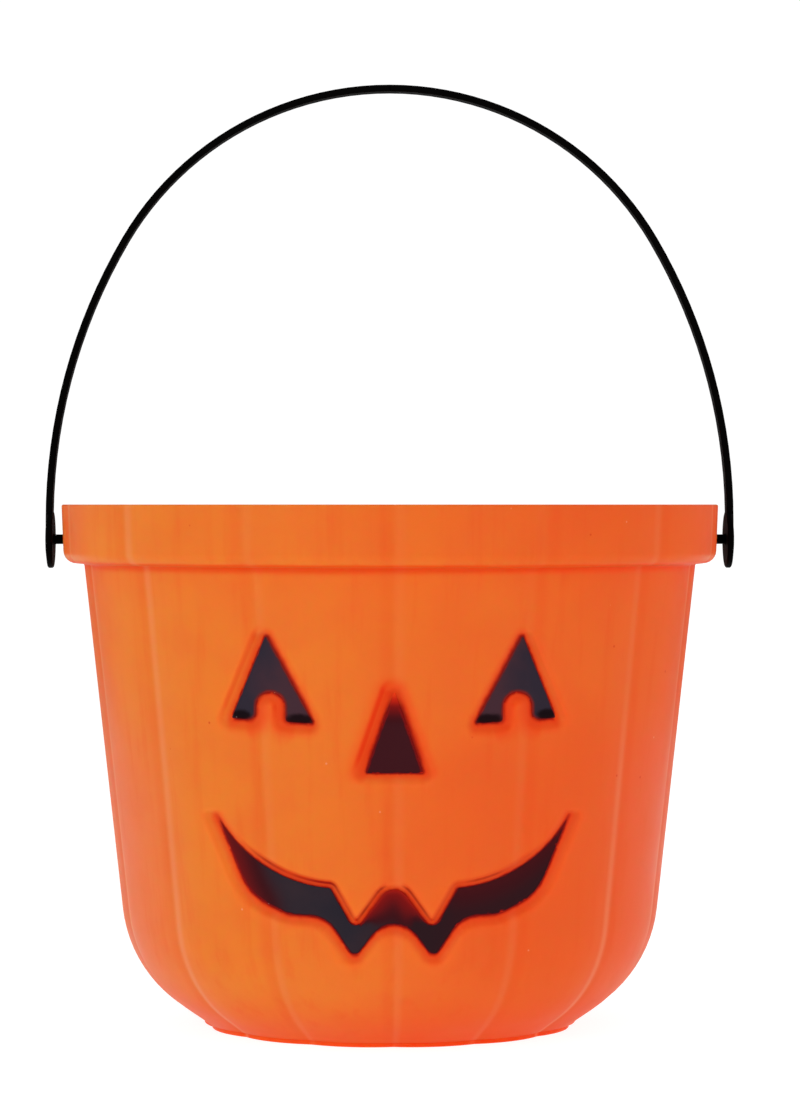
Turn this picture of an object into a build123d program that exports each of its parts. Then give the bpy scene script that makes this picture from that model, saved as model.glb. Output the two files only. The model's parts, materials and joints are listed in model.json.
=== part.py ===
"""Pumpkin candy pail: a lobed thin-walled pail with a debossed, painted face and a snap-in strap handle.

Millimetres, +Z up. The origin is on the ground at the middle of the pail, and the face looks along -Y.
"""
import os
from math import atan2, cos, degrees, pi, radians, sin, tan

from build123d import *

# Pail: sizes through the middle of a lobe, with leans in degrees from upright
pail_height = 144.8
rim_radius = 91.7
band_height = 16.3
band_step = 5.65
band_lean = 2.2
band_corner_radius = 3.5
step_fillet_radius = 0.85
body_lean = 6.3
belly_height = 15.4
belly_round = 37.0
flare_lean = 55.2
foot_height = 1.3
foot_inset = 0.7
foot_ring_width = 6.0
panel_depth = 1.2
wall = 1.5

# Lobes: each one is round about an axis of its own, set out from the middle of the pail
lobe_count = 14
lobe_offset = 25.0

# Face: the right half of it, mirrored, about a middle that is set above half the height of the body
face_rise = 4.6
recess_depth = 1.5
recess_margin = 1.2
paint_thickness = 0.15

eye_spread = 33.4
eye_lift = 19.1
eye_height = 23.1
eye_outer_reach = 9.1
eye_inner_reach = 12.5
eye_outer_rise = 0.9
eye_corner_radius = 0.4
eye_notch_radius = 3.9
eye_notch_height = 4.2
eye_notch_shift = 1.2

nose_lift = 6.25
nose_height = 21.85
nose_half_width = 7.6
nose_corner_radius = 0.4

mouth_half_width = 46.4
mouth_drop = 5.9
mouth_depth = 18.1
mouth_sag = 4.4
tooth_root_spread = 16.6
tooth_spread = 10.1
tooth_length = 11.6
tooth_tip_radius = 2.2
tooth_peak_rise = 14.2
tooth_peak_radius = 4.0
cheek_inset = 8.8
cheek_depth = 21.0
cheek_radius = 14.0
jaw_spread = 27.5
jaw_gape = 7.3
jaw_radius = 8.0
fang_root_spread = 17.6
fang_root_gape = 7.5
fang_root_radius = 8.0
fang_spread = 10.4
fang_length = 11.2
fang_tip_radius = 1.7
fang_peak_rise = 14.2
fang_peak_radius = 7.3

# Handle: an arched strap with a disc, a stud and a snap head at each end
pivot_drop = 9.7
stud_radius = 1.35
stud_length = 2.65
stud_flare = 0.6
pivot_clearance = 0.05
head_radius = 2.3
head_tip_radius = 1.0
head_length = 2.4
head_clearance = 0.3
disc_radius = 8.05
disc_proud = 0.2
disc_dome = 0.7
disc_edge_radius = 0.6
strap_width = 6.3
strap_thickness = 1.9
strap_edge_radius = 0.4
handle_rise = 125.8
leg_length = 5.3
crown_inset = 9.5

# Places that follow from the sizes
band_bottom = pail_height - band_height
face_middle = band_bottom / 2 + face_rise
floor_height = panel_depth + wall
pivot_height = pail_height - pivot_drop
half_lobe = pi / lobe_count
lobe_turns = [360 * index / lobe_count for index in range(lobe_count)]
front_turns = [turn for turn in lobe_turns if sin(radians(turn)) < -sin(half_lobe)]


def lean_radius(start, lean, inset, height):
    """Radius, at a height, of a leaning wall line that is set in from the line through a start point."""
    start_radius, start_height = start
    return start_radius - inset / cos(radians(lean)) + (height - start_height) * tan(radians(lean))


def band_radius(inset, height):
    return lean_radius((rim_radius, pail_height), band_lean, inset, height)


def body_radius(inset, height):
    top = (band_radius(0, band_bottom) - band_step, band_bottom)
    return lean_radius(top, body_lean, inset, height)


def flare_radius(inset, height):
    top = (body_radius(0, belly_height), belly_height)
    return lean_radius(top, flare_lean, inset, height)


def belly_corner(inset):
    """Where the flare above the foot meets the leaning side, on an outline set in by the given amount."""
    spread = body_radius(inset, belly_height) - flare_radius(inset, belly_height)
    height = belly_height + spread / (tan(radians(flare_lean)) - tan(radians(body_lean)))
    return body_radius(inset, height), height


def lobe(inset, bottom, foot=()):
    """One lobe of the pail's outline, set in by the given amount, cut to its share of the ring at +X."""
    step = band_bottom + inset
    outline = [
        *foot,
        (flare_radius(inset, bottom), bottom),
        belly_corner(inset),
        (body_radius(inset, step), step),
        (band_radius(inset, step), step),
        (band_radius(inset, pail_height), pail_height),
    ]
    rounds = [belly_round - inset, step_fillet_radius + inset, max(band_corner_radius - inset, 0)]
    lowest = foot[0][1] if foot else bottom
    reach = 2 * rim_radius
    with BuildPart() as piece:
        with BuildSketch(Plane.XZ):
            with BuildLine():
                FilletPolyline(
                    (lobe_offset, lowest),
                    *outline,
                    (lobe_offset, pail_height),
                    radius=[*[0] * len(foot), 0, *rounds, 0],
                )
                Line((lobe_offset, pail_height), (lobe_offset, lowest))
            make_face()
        revolve(axis=Axis((lobe_offset, 0, 0), (0, 0, 1)))
        with BuildSketch(Plane.XY.offset(lowest)):
            Circle(lobe_offset)
        extrude(amount=pail_height - lowest)
        with BuildSketch(Plane.XY):
            Polygon((0, 0), (reach, -reach * tan(half_lobe)), (reach, reach * tan(half_lobe)), align=None)
        extrude(amount=pail_height, mode=Mode.INTERSECT)
    return piece.part


def ring(piece, turns):
    """Copies of a lobe joined into one solid, one copy at each turn in degrees about the pail's axis."""
    with BuildPart() as joined:
        with Locations(*[Rotation(0, 0, turn) for turn in turns]):
            add(piece)
    return joined.part


def triangle(corners, corner_radius, margin):
    """A triangle with round corners, grown by a margin."""
    with BuildSketch() as shape:
        with BuildLine():
            FilletPolyline(*corners, radius=corner_radius, close=True)
        make_face()
        offset(amount=margin)
    return shape.sketch


def eye_triangle(side, margin):
    foot = face_middle + eye_lift
    corners = [
        (side * eye_spread, foot + eye_height),
        (side * (eye_spread + eye_outer_reach), foot + eye_outer_rise),
        (side * (eye_spread - eye_inner_reach), foot),
    ]
    return triangle(corners, eye_corner_radius, margin)


def eye_outline(side, margin):
    """An eye: a triangle with a round-topped notch in its foot, and the margin taken from the notch too."""
    notch = eye_notch_radius - margin
    middle = face_middle + eye_lift + eye_notch_height
    with BuildSketch() as eye:
        add(eye_triangle(side, margin))
        with Locations((side * (eye_spread - eye_notch_shift), middle)):
            Circle(notch, mode=Mode.SUBTRACT)
            Rectangle(2 * notch, eye_height, align=(Align.CENTER, Align.MAX), mode=Mode.SUBTRACT)
    return eye.sketch


def nose_outline(margin):
    foot = face_middle + nose_lift
    corners = [(0, foot + nose_height), (nose_half_width, foot), (-nose_half_width, foot)]
    return triangle(corners, nose_corner_radius, margin)


def mouth_outline(margin):
    """A grin whose upper edge has two teeth hanging into it and whose lower edge has two fangs below them."""
    tip = face_middle - mouth_drop
    root = tip - mouth_depth
    tooth = root - tooth_length
    fang_root = root - fang_root_gape
    fang = fang_root - fang_length
    lower = [
        (mouth_half_width, tip),
        (mouth_half_width - cheek_inset, tip - cheek_depth),
        (jaw_spread, root - jaw_gape),
        (fang_root_spread, fang_root),
        (fang_spread, fang),
    ]
    lower_rounds = [cheek_radius, jaw_radius, fang_root_radius, fang_tip_radius]
    upper = [(tooth_root_spread, root), (tooth_spread, tooth)]
    with BuildSketch() as mouth:
        with BuildLine():
            FilletPolyline(
                *lower,
                (0, fang + fang_peak_rise),
                *[(-x, z) for x, z in reversed(lower)],
                radius=[*lower_rounds, fang_peak_radius, *reversed(lower_rounds)],
            )
            FilletPolyline(
                *upper,
                (0, tooth + tooth_peak_rise),
                *[(-x, z) for x, z in reversed(upper)],
                radius=[tooth_tip_radius, tooth_peak_radius, tooth_tip_radius],
            )
            SagittaArc((mouth_half_width, tip), (tooth_root_spread, root), mouth_sag)
            SagittaArc((-tooth_root_spread, root), (-mouth_half_width, tip), mouth_sag)
        make_face()
        offset(amount=margin)
    return mouth.sketch


def front_prism(*outlines):
    """Outlines drawn across the front, run from the middle of the pail out past its face."""
    with BuildPart() as prism:
        with BuildSketch(Plane.XZ):
            add(outlines)
        extrude(amount=2 * rim_radius)
    return prism.part


def paint_film(outline):
    """A coat of paint on the floor of the recess."""
    with BuildPart() as film:
        add(front_prism(outline))
        add(paint_face, mode=Mode.INTERSECT)
        add(recess_floor, mode=Mode.SUBTRACT)
    return film.part


def strap_edge(shift):
    """One edge of the strap from a leg's foot to the crown, moved out by the given amount."""
    leg = Line((half_span + shift, pivot_height), (half_span + shift, pivot_height + leg_length))
    bow = JernArc(leg @ 1, leg % 1, leg_radius + shift, leg_sweep)
    crown = JernArc(bow @ 1, bow % 1, crown_radius + shift, 90 - leg_sweep)
    return leg @ 0, crown @ 1


# The lobed surfaces behind the face, from the front inwards
paint_face = ring(lobe(recess_depth - paint_thickness, floor_height), front_turns)
recess_floor = ring(lobe(recess_depth, floor_height), front_turns)
wall_middle = ring(lobe(wall / 2, floor_height), front_turns)
pad_face = ring(lobe(wall + recess_depth, floor_height), front_turns)

# Pail: one hollow lobe repeated round the axis, then the face pressed in, with raised pads behind it
foot_radius = flare_radius(0, foot_height) - foot_inset
with BuildPart() as hollow_lobe:
    add(lobe(0, foot_height, foot=[(foot_radius, 0), (foot_radius, foot_height)]))
    add(lobe(wall, floor_height), mode=Mode.SUBTRACT)

pad_margin = recess_margin + wall
with BuildPart() as pads:
    add(front_prism(eye_triangle(1, pad_margin), eye_triangle(-1, pad_margin)))
    add(front_prism(nose_outline(pad_margin), mouth_outline(pad_margin)))
    add(wall_middle, mode=Mode.INTERSECT)
    add(pad_face, mode=Mode.SUBTRACT)

with BuildPart() as recesses:
    add(front_prism(eye_outline(1, recess_margin), eye_outline(-1, recess_margin)))
    add(front_prism(nose_outline(recess_margin), mouth_outline(recess_margin)))
    add(recess_floor, mode=Mode.SUBTRACT)

with BuildPart() as pail_shell:
    add(ring(hollow_lobe.part, lobe_turns))
    add(pads.part)
    add(recesses.part, mode=Mode.SUBTRACT)
    with BuildSketch(Plane.XY):
        Circle(foot_radius - foot_ring_width)
    extrude(amount=panel_depth, mode=Mode.SUBTRACT)
    with BuildSketch(Plane.YZ):
        with Locations((0, pivot_height)):
            Circle(stud_radius + pivot_clearance)
    extrude(amount=2 * rim_radius, both=True, mode=Mode.SUBTRACT)

# Handle: the right half, mirrored
disc_thickness = strap_thickness + 2 * disc_proud
disc_face = band_radius(0, pivot_height) + stud_length
head_face = band_radius(wall, pivot_height) - head_clearance
half_span = disc_face + disc_thickness / 2
crown_radius = half_span - crown_inset
arch_rise = handle_rise - leg_length
leg_radius = arch_rise + (arch_rise - half_span) ** 2 / (2 * crown_inset)
leg_sweep = degrees(atan2(arch_rise - crown_radius, leg_radius - half_span))
with BuildPart() as handle:
    with BuildSketch(Plane.XZ):
        with BuildLine():
            outer_foot, outer_top = strap_edge(strap_thickness / 2)
            inner_foot, inner_top = strap_edge(-strap_thickness / 2)
            Line(outer_foot, inner_foot)
            Line(outer_top, inner_top)
        make_face()
    extrude(amount=strap_width / 2, both=True)
    strap_sides = edges().group_by(Axis.Y)
    fillet(strap_sides[0] + strap_sides[-1], radius=strap_edge_radius)
    with BuildSketch(Plane.XZ):
        with BuildLine():
            FilletPolyline(
                (head_face - head_length, pivot_height),
                (head_face - head_length, pivot_height + head_tip_radius),
                (head_face, pivot_height + head_radius),
                (head_face, pivot_height + stud_radius),
                (disc_face, pivot_height + stud_radius),
                (disc_face, pivot_height + disc_radius),
                (disc_face + disc_thickness - disc_dome, pivot_height + disc_radius),
                radius=[0, 0, 0, stud_flare, 0],
            )
            TangentArc(
                (disc_face + disc_thickness, pivot_height),
                (disc_face + disc_thickness - disc_dome, pivot_height + disc_radius),
                tangent=(0, 1),
            )
            Line((disc_face + disc_thickness, pivot_height), (head_face - head_length, pivot_height))
        make_face()
        fillet(vertices().group_by(Axis.Y)[-1], radius=disc_edge_radius)
    revolve(axis=Axis((0, 0, pivot_height), (1, 0, 0)))
    mirror(about=Plane.YZ)

# One file for each piece
pieces = {
    "pail_shell": pail_shell.part,
    "handle": handle.part,
    "right_eye_paint": paint_film(eye_outline(1, 0)),
    "left_eye_paint": paint_film(eye_outline(-1, 0)),
    "nose_paint": paint_film(nose_outline(0)),
    "mouth_paint": paint_film(mouth_outline(0)),
}
os.makedirs("parts", exist_ok=True)
for name, piece in pieces.items():
    piece.label = name
    export_step(piece, f"parts/{name}.step")
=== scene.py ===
"""Looks of a pumpkin candy pail: a lobed orange shell, its pressed-in and painted face, and a strap handle.

The shell and the paint are worked out in millimetres in the frame of the part, and scaled to metres when the
meshes are made. Angles about the pail run from the front, -Y, towards +X.
"""
import json
from math import ceil, cos, pi, radians, sin, tan

import bpy
import numpy as np
from mathutils import Euler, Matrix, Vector
from mathutils.geometry import delaunay_2d_cdt
from mathutils.kdtree import KDTree


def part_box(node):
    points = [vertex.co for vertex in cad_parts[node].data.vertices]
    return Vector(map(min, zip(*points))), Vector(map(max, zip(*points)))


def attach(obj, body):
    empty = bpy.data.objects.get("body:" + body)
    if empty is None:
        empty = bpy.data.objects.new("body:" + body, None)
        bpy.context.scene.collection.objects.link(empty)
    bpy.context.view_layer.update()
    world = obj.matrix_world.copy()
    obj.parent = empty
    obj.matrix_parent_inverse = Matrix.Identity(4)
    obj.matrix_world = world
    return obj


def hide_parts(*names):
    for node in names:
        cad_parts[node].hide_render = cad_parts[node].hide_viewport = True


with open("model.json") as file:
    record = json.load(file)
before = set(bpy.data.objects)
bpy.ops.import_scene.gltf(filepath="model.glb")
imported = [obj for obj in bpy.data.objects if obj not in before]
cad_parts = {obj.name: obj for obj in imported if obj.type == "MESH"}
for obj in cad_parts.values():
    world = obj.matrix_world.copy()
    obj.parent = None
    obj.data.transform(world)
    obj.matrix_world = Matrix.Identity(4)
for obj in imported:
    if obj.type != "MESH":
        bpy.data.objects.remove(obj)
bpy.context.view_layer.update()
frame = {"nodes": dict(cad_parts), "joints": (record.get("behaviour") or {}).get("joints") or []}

MM = 0.001

# Pail sizes through the middle of a lobe, with leans in degrees from upright
shell_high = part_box("pail_shell")[1]
pail_height = shell_high.z / MM
rim_radius = shell_high.x / MM
band_height = 16.3
band_step = 5.65
band_lean = 2.2
band_corner_radius = 3.5
step_fillet_radius = 0.85
body_lean = 6.3
belly_height = 15.4
belly_round = 37.0
flare_lean = 55.2
foot_height = 1.3
foot_inset = 0.7
foot_ring_width = 6.0
panel_depth = 1.2
wall = 1.5
lip_radius = 0.5
edge_radius = 0.3
floor_corner_radius = 1.5
lobe_count = 14
lobe_offset = 25.0
least_lobed_radius = 44.0
crease_blend = 0.14

# Pivot holes
pivot_height = frame["joints"][0]["pos_m"][2] / MM
pivot_hole_radius = 1.4
pivot_window = 4.4

# Face sizes: the right half of it, mirrored
face_rise = 4.6
recess_depth = 1.5
recess_foot = 0.35
recess_tops = (3.8, 2.8, 2.0, 3.2)
recess_ease = 0.42
recess_lower = 0.4
paint_thickness = 0.15
paint_root = 0.1
paint_edge = 0.35

eye_spread = 33.4
eye_lift = 19.1
eye_height = 23.1
eye_outer_reach = 9.1
eye_inner_reach = 12.5
eye_outer_rise = 0.9
eye_corner_radius = 0.4
eye_notch_radius = 3.9
eye_notch_height = 4.2
eye_notch_shift = 1.2
eye_outer_heel_radius = 1.9
eye_inner_heel_radius = 0.9

nose_lift = 6.25
nose_height = 21.85
nose_half_width = 7.6
nose_corner_radius = 0.4

mouth_half_width = 46.4
mouth_drop = 5.9
mouth_depth = 18.1
mouth_sag = 4.4
tooth_root_spread = 16.6
tooth_root_radius = 0.9
tooth_spread = 10.1
tooth_length = 11.6
tooth_tip_radius = 2.2
tooth_peak_rise = 14.2
tooth_peak_radius = 4.0
cheek_inset = 8.8
cheek_depth = 21.0
cheek_radius = 14.0
jaw_spread = 27.5
jaw_gape = 7.3
jaw_radius = 8.0
fang_root_spread = 17.6
fang_root_gape = 7.5
fang_root_radius = 8.0
fang_spread = 10.4
fang_length = 11.2
fang_tip_radius = 1.7
fang_peak_rise = 14.2
fang_peak_radius = 7.3

# Marks of the paint to the left, right, above and below each field, in millimetres: paint smeared over the
# plastic (also painted shade on the teeth's flanks), painted red shade of the plastic and film thinned in
# from its edge, then how ragged that edge is, how strong a fine dark line and a painted shade line along the
# recess's edge are, and where these run
spray = {
    "left_eye_paint": {
        "smear_and_shade": (0.5, 1.6, 1.0, 0.9),
        "painted_red_shade": (2.2, 3.0, 3.2, 5.0),
        "fade": (0.15, 0.8, 0.5, 0.7),
        "ragged": (0.1, 0.2, 0.1, 0.2),
        "painted_recess_edge_shade": (0.5, 0, 0, 0),
        "line_place": 2.8,
    },
    "right_eye_paint": {
        "smear_and_shade": (1.5, 0.6, 1.0, 0.9),
        "painted_red_shade": (3.0, 1.6, 3.0, 4.6),
        "fade": (0.8, 0.2, 0.5, 0.7),
        "ragged": (0.2, 0.1, 0.1, 0.2),
        "painted_recess_edge_shade": (0, 0.1, 0, 0),
        "line_place": 2.6,
    },
    "nose_paint": {
        "smear_and_shade": (1.0, 1.6, 2.2, 0.6),
        "painted_red_shade": (7.5, 5.0, 5.5, 2.6),
        "fade": (0.7, 0.9, 1.6, 0.2),
        "ragged": (0.2, 0.3, 0.2, 0.6),
        "painted_recess_edge_shade": (0.95, 0, 0, 0),
        "line_place": 2.9,
    },
    "mouth_paint": {
        "smear_and_shade": (0.8, 0.7, 0.5, 1.0),
        "painted_red_shade": (2.8, 2.4, 2.2, 4.2),
        "fade": (0.5, 0.3, 0.12, 0.5),
        "ragged": (0.2, 0.9, 0.1, 0.9),
        "line": (0.5, 0.5, 1, 0),
        "line_place": 1.45,
    },
}
no_spray = (0, 0, 0, 0)

# The line over the mouth: where it is whole, ends and breaks, by the distance from the middle, and what is
# lost of it towards the right
line_full_spread = 30.0
line_end_spread = 41.0
line_break_spread = (1.5, 4.0)
line_loss_spread = (0.0, 20.0)
line_loss = 0.45

# The painted shade along the recess's edge starts near a field's foot, the smear and its painted shade are
# weaker there, and the mouth is more ragged to the right
recess_edge_shade_rise = (-1.0, 5.0)
smear_and_shade_loss_rise = 6.0
smear_and_shade_loss = 0.55
ragged_spread = (0.0, 15.0)
least_ragged = 0.2

# Where the film is thin, and how thin it is there, from 0 to 1: all over a place, and added at its edge
cheek_thin_spread = (24.0, 40.0)
cheek_thin_reach = 7.5
cheek_thinness = 0.12
cheek_edge_thinness = 0.38
tip_thin_reach = 2.4
left_tip_thinness = 0.45
right_tip_thinness = 0.55
arch_thin_places = (-9.0, -7.0, -4.0, 0.0, 3.0, 6.0, 8.5)
arch_thin_reach = (0.1, 1.2, 4.5, 8.0, 7.0, 1.6, 0.1)
arch_thinness = 0.75
glaze_spread = (6.0, 18.0)
glaze_reach = 8.0
glaze_thinness = 0.08
glaze_edge_thinness = 0.2
nose_thin_height = 9.5
nose_thinness = 0.2

# Soft paint, with a wider painted red shade, round the eyes' notches, and pools of wet paint in the eyes'
# feet
notch_soft_reach = (6.0, 10.5)
notch_soft_edge = (1.15, 0.9)
notch_soft_marks = {"smear_and_shade": 1.1, "painted_red_shade": 7.0, "fade": 1.0}
notch_bareness = 0.72
outer_pool_reach = (2.6, 1.5)
inner_pool_reach = (3.8, 1.6)
pool_rise = 1.0
far_from_pool = 2.0

# Marks of the shell away from its face, what its inside changes in them, and the marks that a film has
shell_marks = {
    "paint_distance": 9,
    "smear_and_shade": 0.5,
    "painted_red_shade": 2,
    "thin": 0,
    "line": 0,
    "painted_recess_edge_shade": 0,
    "line_gap": 9,
    "outside": 1,
}
inside_marks = {"outside": 0}
film_marks = ("paint_distance", "fade", "ragged", "thin", "pool")

# Mesh fineness
row_spacing = 3.0
half_lobe_columns = 11
column_crowding = 2.0
arc_step = radians(15)
outline_spacing = 0.45
field_spacing = 1.5
paint_spacing = 1.0
loop_clearance = 0.42
least_run_share = 0.3
offset_share = 0.985
offset_slack = 0.005
recess_loop_count = 7
pad_loop_step = 3
film_loops = (0.4, 1, 2.2)
bow_steps = 24
notch_steps = 24
slope_step = 0.5
least_facing = 0.2
edge_tolerance = 1e-6
join_distance = 1e-5
inside_only = 1
face_low = 18.0
face_high = 119.0
face_lobe_share = 0.735
hole_sides = 28
hole_columns = 2

# Places that follow from the sizes
band_bottom = pail_height - band_height
floor_height = panel_depth + wall
face_middle = band_bottom / 2 + face_rise
eye_foot = face_middle + eye_lift
notch_middle = eye_spread - eye_notch_shift
nose_foot = face_middle + nose_lift
mouth_tip = face_middle - mouth_drop
tooth_root = mouth_tip - mouth_depth
tooth_tip = tooth_root - tooth_length
fang_root = tooth_root - fang_root_gape
fang_tip = fang_root - fang_length
lobe_angle = 2 * pi / lobe_count
lobe_columns = 2 * half_lobe_columns
column_count = lobe_count * lobe_columns


# Outlines

def rounded(points, radii, closed=False):
    """A line through the points, with an arc of the given radius at each corner."""
    count = len(points)
    line = []
    for place, (point, radius) in enumerate(zip(points, radii)):
        corner = np.array(point, float)
        at_end = not closed and place in (0, count - 1)
        if radius == 0 or at_end:
            line.append(corner)
            continue
        before = np.array(points[place - 1], float) - corner
        after = np.array(points[(place + 1) % count], float) - corner
        before /= np.linalg.norm(before)
        after /= np.linalg.norm(after)
        turn = pi - np.arccos(np.clip(before @ after, -1, 1))
        start = corner + before * radius * tan(turn / 2)
        centre = corner + (before + after) / np.linalg.norm(before + after) * radius / cos(turn / 2)
        steps = max(2, ceil(turn / arc_step), ceil(turn * radius / row_spacing))
        away = (start - centre) / radius
        along = -before
        for angle in np.linspace(0, turn, steps + 1):
            line.append(centre + radius * (away * cos(angle) + along * sin(angle)))
    return np.array(line)


def divided(line, spacing, closed=False):
    """The same line with points added, so that no run is longer than the spacing."""
    ends = np.roll(line, -1, axis=0) if closed else line[1:]
    finer = []
    for start, end in zip(line, ends):
        steps = max(1, ceil(np.linalg.norm(end - start) / spacing))
        finer += [start + (end - start) * step / steps for step in range(steps)]
    if not closed:
        finer.append(line[-1])
    return np.array(finer)


def bowed(start, end, sag):
    """Points between two ends on an arc that hangs below the straight line by the sag."""
    start, end = np.array(start, float), np.array(end, float)
    chord = end - start
    half = np.linalg.norm(chord) / 2
    radius = (half ** 2 + sag ** 2) / (2 * sag)
    down = np.array([chord[1], -chord[0]]) / (2 * half)
    down *= -np.sign(down[1])
    centre = (start + end) / 2 - down * (radius - sag)
    reach = np.arcsin(half / radius)
    run = chord / (2 * half)
    angles = np.linspace(-reach, reach, bow_steps + 1)[1:-1]
    return [centre + radius * (run * sin(angle) + down * cos(angle)) for angle in angles]


def face_outline(points, radii):
    """A closed outline with round corners and short runs, listed anticlockwise."""
    line = divided(rounded(points, radii, closed=True), outline_spacing, closed=True)
    following = np.roll(line, -1, axis=0)
    area = np.sum(line[:, 0] * following[:, 1] - line[:, 1] * following[:, 0])
    return line if area > 0 else line[::-1]


def eye_outline(side):
    """A triangle with a round-topped notch in its foot."""
    outer = (eye_spread + eye_outer_reach, eye_foot + eye_outer_rise)
    inner = (eye_spread - eye_inner_reach, eye_foot)
    notch_top = eye_foot + eye_notch_height
    arch = [
        (notch_middle + eye_notch_radius * cos(angle), notch_top + eye_notch_radius * sin(angle))
        for angle in np.linspace(0, pi, notch_steps + 1)
    ]
    heel_places = [notch_middle + way * eye_notch_radius for way in (1, -1)]
    heels = [(place, np.interp(place, *zip(inner, outer))) for place in heel_places]
    points = [(eye_spread, eye_foot + eye_height), outer, heels[0], *arch, heels[1], inner]
    radii = [eye_corner_radius, eye_corner_radius, eye_outer_heel_radius, *[0] * len(arch)]
    radii += [eye_inner_heel_radius, eye_corner_radius]
    return face_outline([(side * x, z) for x, z in points], radii)


def nose_outline():
    points = [(0, nose_foot + nose_height), (-nose_half_width, nose_foot), (nose_half_width, nose_foot)]
    return face_outline(points, [nose_corner_radius] * 3)


def mouth_bow():
    """The mouth's upper edge on its right half, from the tip to the root of the tooth."""
    tip, root = (mouth_half_width, mouth_tip), (tooth_root_spread, tooth_root)
    return np.array([tip, *bowed(tip, root, mouth_sag), root])


def mouth_arch():
    """The mouth's upper edge between the two teeth."""
    points = [(-tooth_spread, tooth_tip), (0, tooth_tip + tooth_peak_rise), (tooth_spread, tooth_tip)]
    return divided(rounded(points, [0, tooth_peak_radius, 0]), outline_spacing)


def mouth_cheek():
    """The mouth's lower edge on its left half, from the tip to the jaw."""
    corner = (cheek_inset - mouth_half_width, mouth_tip - cheek_depth)
    points = [(-mouth_half_width, mouth_tip), corner, (-jaw_spread, tooth_root - jaw_gape)]
    return divided(rounded(points, [0, cheek_radius, 0]), outline_spacing)


def mouth_outline():
    """A grin with two teeth hanging into its upper edge and two fangs below its lower edge."""
    bow = mouth_bow()
    lower = [
        (mouth_half_width - cheek_inset, mouth_tip - cheek_depth),
        (jaw_spread, tooth_root - jaw_gape),
        (fang_root_spread, fang_root),
        (fang_spread, fang_tip),
    ]
    lower_radii = [cheek_radius, jaw_radius, fang_root_radius, fang_tip_radius]
    upper = [*bow, (tooth_spread, tooth_tip)]
    upper_radii = [*[0] * (len(bow) - 1), tooth_root_radius, tooth_tip_radius]
    points = [
        *[(-x, z) for x, z in reversed(lower)],
        *[(-x, z) for x, z in upper],
        (0, tooth_tip + tooth_peak_rise),
        *reversed(upper),
        *lower,
        (0, fang_tip + fang_peak_rise),
    ]
    radii = [*reversed(lower_radii), *upper_radii, tooth_peak_radius]
    radii += [*reversed(upper_radii), *lower_radii, fang_peak_radius]
    return face_outline(points, radii)


fields = {
    "left_eye_paint": eye_outline(-1),
    "right_eye_paint": eye_outline(1),
    "nose_paint": nose_outline(),
    "mouth_paint": mouth_outline(),
}


def nearest_edge(x, z, outlines):
    """For places in the front view: the nearest outline's number, the distance from it, which is negative
    inside it, and the direction out of it there.
    """
    points = np.stack([x, z], axis=1)
    number = np.zeros(len(points), int)
    least = np.full(len(points), np.inf)
    gap = np.zeros_like(points)
    normal = np.zeros_like(points)
    inside = np.zeros(len(points), bool)
    for place, outline in enumerate(outlines):
        for start, end in zip(outline, np.roll(outline, -1, axis=0)):
            run = end - start
            share = np.clip((points - start) @ run / (run @ run), 0, 1)
            away = points - start - share[:, None] * run
            square = np.einsum("ij,ij->i", away, away)
            closer = square < least
            number[closer] = place
            least[closer] = square[closer]
            gap[closer] = away[closer]
            normal[closer] = np.array([run[1], -run[0]]) / np.linalg.norm(run)
            if run[1] != 0:
                rises = (start[1] > z) != (end[1] > z)
                inside ^= rises & (x < start[0] + (z - start[1]) * run[0] / run[1])
    distance = np.where(inside, -1, 1) * np.sqrt(least)
    on_edge = np.abs(distance) < edge_tolerance
    way = np.where(on_edge[:, None], normal, gap / np.where(on_edge, 1, distance)[:, None])
    return number, distance, way


def edge_distance(points, outline):
    return nearest_edge(*points.T, [outline])[1]


def offset_loop(outline, distance):
    """The outline moved outwards by a distance, round sharp corners, without stretches that would cross."""
    runs = np.roll(outline, -1, axis=0) - outline
    headings = np.arctan2(runs[:, 1], runs[:, 0])
    moved = []
    for corner, before, after in zip(outline, np.roll(headings, 1), headings):
        turn = (after - before + pi) % (2 * pi) - pi
        steps = ceil(abs(turn) / arc_step)
        shares = np.linspace(0, 1, steps + 1) if steps > 1 else [0.5]
        for heading in before + turn * np.array(shares):
            moved.append(corner + distance * np.array([sin(heading), -cos(heading)]))
    loop = divided(np.array(moved), outline_spacing, closed=True)
    clear = edge_distance(loop, outline) * np.sign(distance)
    kept = []
    for point in loop[clear > abs(distance) * offset_share - offset_slack]:
        if not kept or np.linalg.norm(point - kept[-1]) > outline_spacing * least_run_share:
            kept.append(point)
    return np.array(kept)


def smooth_step(value, start, end):
    """A smooth change from 0 at the start to 1 at the end."""
    share = np.clip((value - start) / (end - start), 0, 1)
    return share ** 2 * (3 - 2 * share)


def oval_distance(x, z, middle, reach):
    """Distance from the middle of an oval, which is 1 on the oval."""
    return np.hypot((x - middle[0]) / reach[0], (z - middle[1]) / reach[1])


def point_tree(points):
    """A search tree of points in the front view."""
    tree = KDTree(len(points))
    for number, point in enumerate(points):
        tree.insert((*point, 0), number)
    tree.balance()
    return tree


def line_nearness(x, z, line, reach):
    """How near places are to a line of points: 1 on it, falling evenly to 0 at the reach."""
    tree = point_tree(line)
    distance = np.array([tree.find((*place, 0))[2] for place in zip(x, z)])
    return np.clip(1 - distance / reach, 0, 1)


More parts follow.
